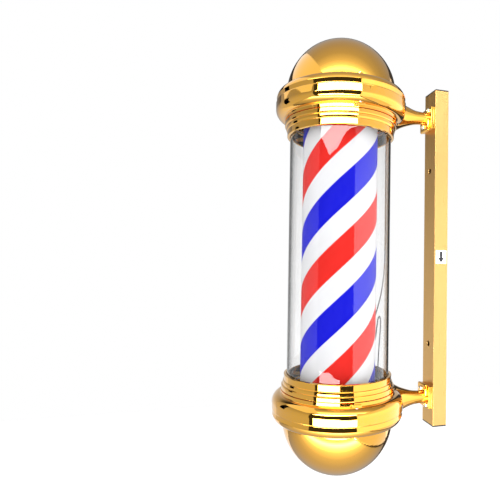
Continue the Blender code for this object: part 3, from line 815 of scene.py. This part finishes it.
def rail_plug(end, side):
    low, high = RAIL_HALF + GAP, RAIL_HALF + GAP + 0.0020
    plate = block(f"rail_plug_{end}_fine", (-0.019, -0.025, side * low), (0.019, 0, side * high), "black", 0.0006)
    near, far = RAIL_HALF - 0.008, RAIL_HALF + 0.001
    inner = block("plug", (-0.0172, -0.0232, side * near), (0.0172, -0.0018, side * far), "black", 0.0005)
    return settle(merge(plate, inner), f"rail_plug_{end}")


def arrow_label():
    """White sticker with a plain arrow that points down, printed as a thin raised layer."""
    x = 0.0193
    paper = block("arrow_label_fine", (x, -0.0226, -0.0115), (x + 0.00028, -0.0024, 0.0115), "paper", 0.0001, 2)
    shape = bmesh.new()
    outline = [(-0.0024, 0.0093), (0.0024, 0.0093), (0.0024, -0.0015), (0.0058, -0.0015)]
    outline += [(0.0, -0.0097), (-0.0058, -0.0015), (-0.0024, -0.0015)]
    front = [shape.verts.new((x + 0.00034, -0.0125 + y, z)) for y, z in outline]
    back = [shape.verts.new((x + 0.00020, -0.0125 + y, z)) for y, z in outline]
    shape.faces.new(front)
    shape.faces.new(back[::-1])
    for index in range(len(outline)):
        after = (index + 1) % len(outline)
        shape.faces.new([front[after], front[index], back[index], back[after]])
    bmesh.ops.recalc_face_normals(shape, faces=shape.faces)
    mesh = bpy.data.meshes.new("arrow")
    shape.to_mesh(mesh)
    shape.free()
    return settle(merge(paper, make("arrow", mesh, "ink", 0)), "arrow_label")


# --- tube, drum and what is inside -------------------------------------------------------------


def ring(name, outer, inner, low, high, finish, fillet=0.0003, steps=FINE):
    corners = [(inner, high, fillet), (outer, high, fillet), (outer, low, fillet), (inner, low, fillet)]
    return lathe(name, rounded(corners), finish, steps=steps)


def clear_tube():
    inner = TUBE_RADIUS - TUBE_WALL
    settle(ring("clear_tube_fine", TUBE_RADIUS, inner, -TUBE_HALF, TUBE_HALF, "clear"), "clear_tube")
    for end, side in SIDES.items():
        low, high = sorted((side * (TUBE_HALF + GAP), side * 0.2121))
        gasket = ring(f"{end}_gasket_fine", TUBE_RADIUS, TUBE_RADIUS - 0.0040, low, high, "gasket", 0.0006)
        settle(gasket, f"{end}_gasket")


def vents(radius, size, low, high, finish):
    tools = []
    for index in range(6):
        angle = math.radians(60 * index)
        place = AXIS + radius * Vector((math.cos(angle), math.sin(angle), 0))
        tools.append(rod("vent", size, low, high, finish, place))
    return tools


def drum():
    inner = DRUM_RADIUS - 0.0015
    shell = ring("drum_shell_fine", DRUM_RADIUS, inner, DRUM_BOTTOM, DRUM_TOP, "drum", 0.0004)
    settle(shell, "drum_shell", "drum")
    hole = 0.0033
    rim = HUB_RADIUS - 0.0015
    hub_corners = [
        (hole, -0.1900, 0.0003),
        (0.0090, -0.1900, 0.0008),
        (0.0090, -0.1995, 0.0010),
        (rim, -0.1995, 0.0005),
        (rim, -0.1930, 0.0003),
        (HUB_RADIUS, -0.1930, 0.0005),
        (HUB_RADIUS, -0.2050, 0.0005),
        (rim, -0.2050, 0.0003),
        (rim, -0.2015, 0.0005),
        (0.0090, -0.2015, 0.0010),
        (0.0090, -0.2120, 0.0008),
        (hole, -0.2120, 0.0003),
    ]
    hub = lathe("drum_hub_fine", rounded(hub_corners), "white", steps=96)
    tools = vents(0.034, 0.0100, -0.210, -0.195, "white")
    height = AXIS + Vector((0, 0, -0.2068))
    tools.append(rod("set_screw_hole", 0.0018, 0, 0.012, "white", height, (1, 0, 0), 24))
    settle(apply_booleans(hub, tools), "drum_hub", "drum")
    set_screw = rod("hub_set_screw_fine", 0.00148, 0.0033, 0.0088, "zinc", height, (1, 0, 0), 32)
    socket = rod("socket", 0.0008, 0.0076, 0.0100, "zinc", height, (1, 0, 0), 6)
    settle(apply_booleans(set_screw, [socket]), "hub_set_screw", "drum")
    shaft_corners = [(0, -0.1930, 0), (0.0030, -0.1930, 0.0004), (0.0030, -0.2260, 0.0003), (0, -0.2260, 0)]
    shaft = lathe("output_shaft_fine", rounded(shaft_corners, False), "zinc", steps=48, closed=False)
    settle(shaft, "output_shaft", "drum")
    guide_corners = [
        (0.0246, 0.2005, 0.0003),
        (HUB_RADIUS, 0.2005, 0.0005),
        (HUB_RADIUS, 0.1900, 0.0005),
        (rim, 0.1900, 0.0003),
        (rim, 0.1985, 0.0005),
        (0.0246, 0.1985, 0.0003),
    ]
    guide = lathe("drum_top_ring_fine", rounded(guide_corners), "white", steps=96)
    settle(apply_booleans(guide, vents(0.041, 0.0090, 0.190, 0.205, "white")), "drum_top_ring", "drum")


def inner_bracket(name, side):
    """A bent steel strap, with rounded bends and its holes."""
    half, thick = 0.0853, 0.0020
    low, high = BRACKET_FACE, 0.2325
    centre = [(-half, high, 0), (-half, low, 0.0030), (half, low, 0.0030), (half, high, 0)]
    outer = rounded(centre, closed=False)
    inside = [(-half + thick, high, 0), (-half + thick, low + thick, 0.0010)]
    inside += [(half - thick, low + thick, 0.0010), (half - thick, high, 0)]
    loop = outer + rounded(inside, closed=False)[::-1]
    shape = bmesh.new()
    front = [shape.verts.new(AXIS + Vector((x, -0.012, side * z))) for x, z in loop]
    back = [shape.verts.new(AXIS + Vector((x, 0.012, side * z))) for x, z in loop]
    shape.faces.new(front)
    shape.faces.new(back)
    for index in range(len(loop)):
        after = (index + 1) % len(loop)
        shape.faces.new([front[index], front[after], back[after], back[index]])
    bmesh.ops.recalc_face_normals(shape, faces=shape.faces)
    bmesh.ops.bevel(
        shape,
        geom=[edge for edge in shape.edges if edge.is_manifold and edge.calc_face_angle() > 1.2],
        offset=0.0003,
        segments=2,
        affect="EDGES",
    )
    mesh = bpy.data.meshes.new(name)
    shape.to_mesh(mesh)
    shape.free()
    strap = make(f"{name}_fine", mesh, "zinc")
    tools = []
    for way in (-1, 1):
        place = AXIS + Vector((0, 0, side * SIDE_SCREW_HEIGHT))
        tools.append(rod("tab_hole", 0.0019, 0.075, 0.090, "zinc", place, (way, 0, 0), 32))
        if name == "motor_bracket":
            place = AXIS + Vector((way * 0.0300, 0, side * BRACKET_FACE))
            tools.append(rod("motor_hole", 0.0018, -0.004, 0.004, "zinc", place, (0, 0, 1), 32))
    place = AXIS + Vector((0, 0, side * BRACKET_FACE))
    tools.append(rod("centre_hole", 0.0062, -0.004, 0.004, "zinc", place, (0, 0, 1), 48))
    apply_booleans(strap, tools)
    strap.data.set_sharp_from_angle(angle=math.radians(30))
    return settle(strap, name)


def lamp():
    nipple = [(0.0035, 0.2235)]
    turns = 24
    for turn in range(turns):
        top = 0.2233 - turn * 0.0010
        nipple += [(0.0050, top), (0.0046, top - 0.0005)]
    nipple += [(0.0048, 0.1990), (0.0035, 0.1990)]
    settle(lathe("lamp_nipple_fine", nipple, "zinc", steps=64), "lamp_nipple")
    low, high = BRACKET_BACK + GAP, BRACKET_BACK + 0.0033
    corners = [(0.0062, high, 0), (0.0079, high, 0), (0.0085, high - 0.0006, 0), (0.0085, low, 0), (0.0062, low, 0)]
    settle(lathe("nipple_nut_fine", [c[:2] for c in corners], "zinc", steps=6), "nipple_nut")
    holder = [
        (0.0053, 0.2148, 0.0004),
        (0.0120, 0.2148, 0.0015),
        (0.0190, 0.2080, 0.0030),
        (0.0190, 0.1690, 0.0006),
        (0.0160, 0.1690, 0.0006),
        (0.0160, 0.2060, 0.0020),
        (0.0053, 0.2110, 0.0004),
    ]
    settle(lathe("lamp_holder_fine", rounded(holder), "white", steps=128), "lamp_holder")
    base = [(0, 0.1960), (0.0050, 0.1960), (0.0085, 0.1932), (0.0126, 0.1922)]
    for turn in range(6):
        top = 0.1912 - turn * 0.0036
        base += arc((0.0125, top - 0.0009), (0.0009, 0.0009), 70, -70, 7)
        base += arc((0.0133, top - 0.0027), (0.0006, 0.0008), 110, 250, 5)
    base += [(0.0134, 0.1682), (0.0160, 0.1660), (0.0180, 0.1640), (0.0262, 0.1548)]
    base += arc((0.0270, 0.1522), (0.0015, 0.0015), 60, -20, 6) + [(0.0285, 0.1502), (0, 0.1500)]
    settle(lathe("bulb_base_fine", base, "lamp_base", steps=128, closed=False), "bulb_base")
    inside = arc((0, 0.1290), (0.0285, 0.0285), -90, 30, 24)
    outside = arc((0, 0.1290), (0.0300, 0.0300), 30, -90, 30)
    inside[0] = (0, inside[0][1])
    outside[-1] = (0, outside[-1][1])
    mouth = [(0.0265, 0.1493), (0.0268, 0.1497), (0.0277, 0.1497), (0.0280, 0.1493)]
    bulb = lathe("bulb_diffuser_fine", inside + mouth + outside, "opal", steps=96, closed=False)
    settle(bulb, "bulb_diffuser")
    bush = [(0.0193, 0.2035, 0.0006), (0.0240, 0.2035, 0.0008), (0.0240, 0.1950, 0.0008), (0.0193, 0.1950, 0.0006)]
    settle(lathe("guide_bush_fine", rounded(bush), "rubber", steps=96), "guide_bush")


def motor():
    face = -(BRACKET_BACK + GAP)
    back = face - 0.0012
    cover_corners = [
        (0.0033, -0.2142, 0.0003),
        (0.0055, -0.2142, 0.0006),
        (0.0055, face, 0.0003),
        (0.0250, face, 0.0005),
        (0.0250, back, 0.0003),
        (0.0033, back, 0.0003),
    ]
    cover = lathe("motor_cover_fine", rounded(cover_corners), "zinc", steps=96)
    ears, tools = [], []
    for number, way in enumerate((-1, 1), start=1):
        low = AXIS + Vector((way * 0.0235, -0.005, back))
        high = AXIS + Vector((way * 0.0345, 0.005, face))

        def rim(first, second, edge=way * 0.0345):
            return min(abs(first.x - edge), abs(second.x - edge)) < 1e-6 and abs(first.z - second.z) > 1e-6

        ear = make("ear", block_mesh("ear", low, high, 0.0030, 6, rim), "zinc", 30)
        place = AXIS + Vector((way * 0.0300, 0, back))
        ears.append(apply_booleans(ear, [rod("hole", 0.0018, -0.002, 0.003, "zinc", place, (0, 0, 1), 32)]))
        seat = place - Vector((0, 0, GAP))
        node = f"motor_screw_{number}"
        settle(screw(f"{node}_fine", seat, (0, 0, -1), 0.0028, 0.0020, 0.0015, 0.0060, "zinc"), node)
    settle(merge(cover, *ears), "motor_cover")
    top = back - GAP
    bottom = top - 0.0210
    can_corners = [
        (0, bottom + 0.001, 0),
        (0.0240, bottom + 0.001, 0.0010),
        (0.0240, top, 0.0002),
        (0.0250, top, 0.0002),
        (0.0250, bottom, 0.0018),
        (0, bottom, 0),
    ]
    can = lathe("motor_can_fine", rounded(can_corners, False), "zinc", steps=96, closed=False)
    settle(can, "motor_can")


def tube_along(name, points, radius, finish, spacing, sides=14):
    """A round lead along a smooth route, with closed ends."""
    route = smooth(points, spacing)
    shape = bmesh.new()
    rows = []
    forward = (route[1] - route[0]).normalized()
    across = forward.orthogonal().normalized()
    for index, place in enumerate(route):
        ahead = route[min(index + 1, len(route) - 1)] - route[max(index - 1, 0)]
        ahead.normalize()
        across = (across - ahead * across.dot(ahead)).normalized()
        up = ahead.cross(across)
        row = []
        for side in range(sides):
            angle = 2 * math.pi * side / sides
            offset = across * math.cos(angle) + up * math.sin(angle)
            row.append(shape.verts.new(AXIS + place + offset * radius))
        rows.append(row)
    for first, second in zip(rows, rows[1:]):
        for side in range(sides):
            after = (side + 1) % sides
            shape.faces.new([first[side], first[after], second[after], second[side]])
    shape.faces.new(rows[0])
    shape.faces.new(rows[-1])
    bmesh.ops.recalc_face_normals(shape, faces=shape.faces)
    mesh = bpy.data.meshes.new(name)
    shape.to_mesh(mesh)
    shape.free()
    return make(name, mesh, finish, 40)


def on_track(angle, height):
    turn = math.radians(angle)
    return Vector((0.0755 * math.cos(turn), 0.0755 * math.sin(turn), height))


def leads():
    x = -0.0560
    top = -BRACKET_BACK - GAP
    low, high = AXIS + Vector((x - 0.010, -0.006, top - 0.011)), AXIS + Vector((x + 0.010, 0.006, top))
    body = block("terminal_block_fine", low, high, "white", 0.0008)
    tools = []
    for offset in (-0.005, 0.005):
        place = AXIS + Vector((x + offset, 0, top - 0.011))
        tools.append(rod("clamp_hole", 0.0022, -0.002, 0.004, "white", place, (0, 0, 1), 32))
    settle(apply_booleans(body, tools), "terminal_block")
    start = Vector((x, 0.0063, top - 0.006))
    points = [
        start,
        start + Vector((0.001, 0.008, 0)),
        Vector((-0.0500, 0.0290, -0.2236)),
        Vector((-0.0390, 0.0490, -0.2225)),
        Vector((-0.0240, 0.0650, -0.2185)),
        Vector((-0.0130, 0.0725, -0.2105)),
        on_track(97, -0.198),
        on_track(96, -0.182),
        on_track(94.5, -0.160),
        on_track(92, -0.138),
        on_track(90, -0.120),
        on_track(90, -0.108),
        on_track(93.5, -0.102),
        on_track(97.5, -0.107),
        on_track(100, -0.120),
        on_track(103, -0.138),
        on_track(107, -0.152),
        on_track(111.5, -0.155),
        on_track(115, -0.147),
        on_track(114, -0.132),
        on_track(108, -0.112),
        on_track(99, -0.088),
        on_track(89, -0.063),
        on_track(80, -0.036),
        on_track(74, -0.010),
        on_track(72, 0.020),
        on_track(72, 0.060),
        on_track(72.5, 0.110),
        on_track(73, 0.160),
        on_track(73, 0.198),
        Vector((0.0215, 0.0705, 0.2130)),
        Vector((0.0185, 0.0620, 0.2240)),
        Vector((0.0130, 0.0450, 0.2320)),
        Vector((0.0065, 0.0230, 0.2360)),
        Vector((0.0015, 0.0065, 0.2345)),
        Vector((0, 0, 0.2280)),
        Vector((0, 0, 0.2180)),
    ]
    settle(tube_along("lamp_lead_fine", points, 0.0011, "lead", 0.0022), "lamp_lead")
    can = Vector((-0.0250 - GAP, 0, -BRACKET_BACK - GAP - 0.0120))
    corner = Vector((x + 0.0103, 0, top - 0.006))
    points = [corner, corner + Vector((0.006, 0, -0.0015)), can - Vector((0.005, 0, 0)), can]
    settle(tube_along("motor_lead_fine", points, 0.0011, "lead", 0.0015), "motor_lead")


def cable_grommet():
    centre = AXIS + Vector((0, 0, -DOME_CENTRE))
    out = Vector((0, 1, -1)).normalized()
    corners = [
        (0.0025, 0.0910, 0.0005),
        (0.0068, 0.0910, 0.0006),
        (0.0075, 0.0904, 0.0004),
        (0.0075, 0.0896, 0.0002),
        (0.0050, 0.0896, 0.0003),
        (0.0050, 0.0856, 0.0003),
        (0.0070, 0.0856, 0.0003),
        (0.0070, 0.0844, 0.0003),
        (0.0025, 0.0844, 0.0004),
    ]
    grommet = lathe("cable_grommet_fine", rounded(corners), "rubber", centre, out, 64)
    settle(grommet, "cable_grommet")


# --- camera, floor and lights ------------------------------------------------------------------


def camera():
    """The product shot: level with the pole's middle, from its right front."""
    data = bpy.data.cameras.new("camera")
    data.lens = 33.18
    data.sensor_width = 36
    data.shift_x = -0.1747
    data.shift_y = 0.0128
    obj = bpy.data.objects.new("camera", data)
    bpy.context.scene.collection.objects.link(obj)
    azimuth = math.radians(72.98)
    obj.location = AXIS + Vector((0.756 * math.sin(azimuth), -0.756 * math.cos(azimuth), -0.0172))
    look, pitch, roll = (math.radians(value) for value in (73.19, 1.155, 0.748))
    forward = Vector((-math.sin(look) * math.cos(pitch), math.cos(look) * math.cos(pitch), math.sin(pitch)))
    right = Vector((math.cos(look), math.sin(look), 0))
    up = right.cross(forward)
    tilted_right = right * math.cos(roll) + up * math.sin(roll)
    tilted_up = up * math.cos(roll) - right * math.sin(roll)
    turn = Matrix((tilted_right, tilted_up, -forward)).transposed()
    obj.rotation_euler = turn.to_euler()
    bpy.context.scene.camera = obj


CAMERA_AZIMUTH = math.radians(72.98)


def toward(beta, elevation):
    """The direction from the pole at beta degrees right of the camera, and at this elevation."""
    angle = CAMERA_AZIMUTH + math.radians(beta)
    level = math.cos(math.radians(elevation))
    return Vector((math.sin(angle) * level, -math.cos(angle) * level, math.sin(math.radians(elevation))))


def card(name, centre, right, up, size, strength, soft=(0.0, 0.0), outline=None):
    """A glowing studio card that only shows in reflections. soft fades its edges, as a share of its size.

    strength is one number, or (share of the way up, level) pairs. outline gives it another shape."""
    nodes = Nodes(name)
    nodes.tree.nodes.remove(nodes.shader)
    place = nodes.add("ShaderNodeTexCoord")
    split = nodes.add("ShaderNodeSeparateXYZ")
    nodes.link(place.outputs["Object"], split.inputs["Vector"])
    half_x, half_y = size[0] / 2, size[1] / 2
    if isinstance(strength, (int, float)):
        strength = [(0.0, strength), (1.0, strength)]
    peak = max(level for _, level in strength) or 1.0
    run = nodes.between(split.outputs["Y"], 0.0, 1.0, -half_y, half_y)
    stops = [(place_up, (level / peak,) * 3) for place_up, level in strength]
    level = nodes.math("MULTIPLY", nodes.colours(run, stops), peak)
    for axis, half, edge in (("X", half_x, soft[0]), ("Y", half_y, soft[1])):
        away = nodes.math("ABSOLUTE", split.outputs[axis])
        fade = nodes.between(away, 1.0, 0.0, half * (1 - edge) - 0.0001, half)
        level = nodes.math("MULTIPLY", level, fade)
    glow = nodes.add("ShaderNodeEmission")
    nodes.link(level, glow.inputs["Strength"])
    nodes.link(glow.outputs["Emission"], nodes.output.inputs["Surface"])
    corners = outline or [(-half_x, -half_y), (half_x, -half_y), (half_x, half_y), (-half_x, half_y)]
    mesh = bpy.data.meshes.new(name)
    mesh.from_pydata([(x, y, 0) for x, y in corners], [], [range(len(corners))])
    mesh.materials.append(nodes.material)
    obj = bpy.data.objects.new(name, mesh)
    bpy.context.scene.collection.objects.link(obj)
    right = Vector(right).normalized()
    up = (Vector(up) - right * Vector(up).dot(right)).normalized()
    obj.rotation_euler = Matrix((right, up, right.cross(up))).transposed().to_euler()
    obj.location = centre
    for ray in ("visible_camera", "visible_diffuse", "visible_transmission", "visible_shadow"):
        setattr(obj, ray, False)
    return obj


def upright(name, beta, distance, wide, tall, strength, elevation=0, soft=(0, 0)):
    """A card that faces the pole."""
    out = toward(beta, elevation)
    right = Vector((0, 0, 1)).cross(out)
    return card(name, AXIS + out * distance, right, out.cross(right), (wide, tall), strength, soft)


def white_world():
    """White behind and round the object, but dark where polished metal would mirror it."""
    world = bpy.data.worlds.new("studio")
    bpy.context.scene.world = world
    world.use_nodes = True
    tree = world.node_tree
    background = tree.nodes["Background"]
    path = tree.nodes.new("ShaderNodeLightPath")
    place = tree.nodes.new("ShaderNodeTexCoord")
    split = tree.nodes.new("ShaderNodeSeparateXYZ")
    tree.links.new(place.outputs["Generated"], split.inputs["Vector"])

    def pick(source, low, high, start=0.0, end=1.0):
        span = tree.nodes.new("ShaderNodeMapRange")
        for socket, value in (("From Min", start), ("From Max", end), ("To Min", low), ("To Max", high)):
            if isinstance(value, (int, float)):
                span.inputs[socket].default_value = value
            else:
                tree.links.new(value, span.inputs[socket])
        tree.links.new(source, span.inputs["Value"])
        return span.outputs["Result"]

    level = pick(path.outputs["Is Glossy Ray"], 1.0, 0.05)
    level = pick(path.outputs["Is Diffuse Ray"], level, 1.2)
    through = pick(split.outputs["Z"], 1.20, 0.92, -0.25, 0.30)
    through = pick(path.outputs["Glossy Depth"], through, 0.05)
    level = pick(path.outputs["Is Transmission Ray"], level, through)
    tree.links.new(level, background.inputs["Strength"])
    background.inputs["Color"].default_value = (1, 1, 1, 1)


# Outlines of the two soft boxes in front of the pole, above and below the camera (metres right, up).
BOX_ABOVE = [(-1.50, 0.77), (-0.67, 0.54), (-0.14, 0.55), (0.32, 0.63), (1.10, 0.75), (1.10, 1.12), (-1.15, 1.12)]
BOX_BELOW = [(-1.30, -1.12), (1.05, -1.12), (1.05, -0.78), (0.13, -0.69), (0.13, -0.56), (-0.50, -0.54), (-1.30, -0.62)]
# Outlines of the bright patches over and under the pole (metres right, toward the camera).
PATCH_ABOVE = [(-1.60, -0.60), (-0.30, -0.60), (-0.31, -0.38), (-0.50, 0.48), (-0.64, 0.73), (-0.75, 1.00), (-1.60, 1.00)]
PATCH_BELOW = [(0.66, -0.60), (1.60, -0.60), (1.60, 1.00), (0.80, 1.00), (0.66, 0.60)]


def studio():
    floor_nodes = Nodes("studio_floor")
    floor_nodes.set(Base_Color=(0.92, 0.92, 0.92), Roughness=1.0, Specular_IOR_Level=0.0)
    floor_nodes.bump(floor_nodes.noise(3, 2), 0.02, 0.01)
    mesh = bpy.data.meshes.new("floor")
    mesh.from_pydata([(-1.3, -1.3, 0), (1.3, -1.3, 0), (1.3, 1.3, 0), (-1.3, 1.3, 0)], [], [(0, 1, 2, 3)])
    mesh.materials.append(floor_nodes.material)
    floor = bpy.data.objects.new("floor", mesh)
    bpy.context.scene.collection.objects.link(floor)
    floor.location.z = -0.62
    floor.visible_glossy = False

    white_world()
    across = Vector((0, 0, 1)).cross(toward(0, 0))
    ahead = AXIS + 1.6 * toward(0, 0)
    for name, outline in (("box_above", BOX_ABOVE), ("box_below", BOX_BELOW)):
        card(name, ahead, across, (0, 0, 1), (9, 9), 14.0, outline=outline)
    beside = [(0.0, 1.6), (0.35, 1.7), (0.58, 1.9), (0.70, 1.15), (0.87, 0.92), (1.0, 0.85)]
    upright("right_wall", 84, 1.5, 3.75, 3.0, beside)
    upright("left_wall", -85.5, 1.5, 2.48, 3.0, [(0.0, 0.70), (0.5, 0.62), (0.78, 0.40), (1.0, 0.32)])
    falling = [(0.0, 1.05), (0.30, 0.85), (0.50, 0.62), (0.68, 0.42), (0.80, 0.15), (0.90, 0.03)]
    upright("back_wall", -164.5, 1.6, 2.60, 3.0, falling)
    out = toward(-102, 0)
    flag = AXIS + out * 1.4 + Vector((0, 0, 0.20))
    card("black_flag", flag, Vector((0, 0, 1)).cross(out), (0, 0, 1), (0.32, 0.84), 0.0)
    for name in ("right_wall", "left_wall"):
        bpy.data.objects[name].visible_transmission = True
    overhead = [(0.0, 0.35), (0.36, 0.45), (0.50, 0.56), (0.64, 0.92), (0.75, 1.6), (0.85, 4.0), (0.93, 3.0), (1.0, 1.0)]
    underfoot = [(0.0, 0.35), (0.38, 0.65), (0.50, 0.90), (0.62, 1.6), (0.70, 3.5), (0.80, 9.0), (0.90, 2.5), (1.0, 0.6)]
    for name, height, aside, levels in (("ceiling", 0.80, 0.25, overhead), ("ground", -0.80, -0.27, underfoot)):
        place = AXIS + Vector((0, 0, height)) + 0.22 * toward(0, 0) + aside * across
        card(name, place, across, toward(0, 0), (1.8, 1.6), levels, (0.04, 0.02))
    for name, height, outline in (("ceiling_left", 0.79, PATCH_ABOVE), ("ground_right", -0.79, PATCH_BELOW)):
        card(name, AXIS + Vector((0, 0, height)), across, toward(0, 0), (9, 9), 1.05, outline=outline)

    for name, beta, elevation, power in (("key", -25, 8, 16.0), ("fill", 30, -6, 14.0)):
        data = bpy.data.lights.new(name, "AREA")
        data.energy = power
        data.size = 0.9
        lamp_object = bpy.data.objects.new(name, data)
        bpy.context.scene.collection.objects.link(lamp_object)
        lamp_object.location = AXIS + toward(beta, elevation) * 1.6
        lamp_object.rotation_euler = (-toward(beta, elevation)).to_track_quat("-Z", "Y").to_euler()
        lamp_object.visible_glossy = False
        lamp_object.visible_transmission = False
        lamp_object.visible_camera = False
    bpy.context.scene.view_settings.view_transform = "Standard"


# --- build -------------------------------------------------------------------------------------


def build():
    for end, side in SIDES.items():
        dome(end, side)
        band(end, side)
        collar(end, side)
        end_screws(end, side)
        name = "upper" if side > 0 else "lower"
        arm(f"{name}_arm", side)
        base_plate(f"{name}_base_plate", side)
        arm_screws(name, side)
        rail_plug(end, side)
        inner_bracket("lamp_bracket" if side > 0 else "motor_bracket", side)
    wall_rail()
    arrow_label()
    clear_tube()
    drum()
    lamp()
    motor()
    leads()
    cable_grommet()


camera()
build()
studio()
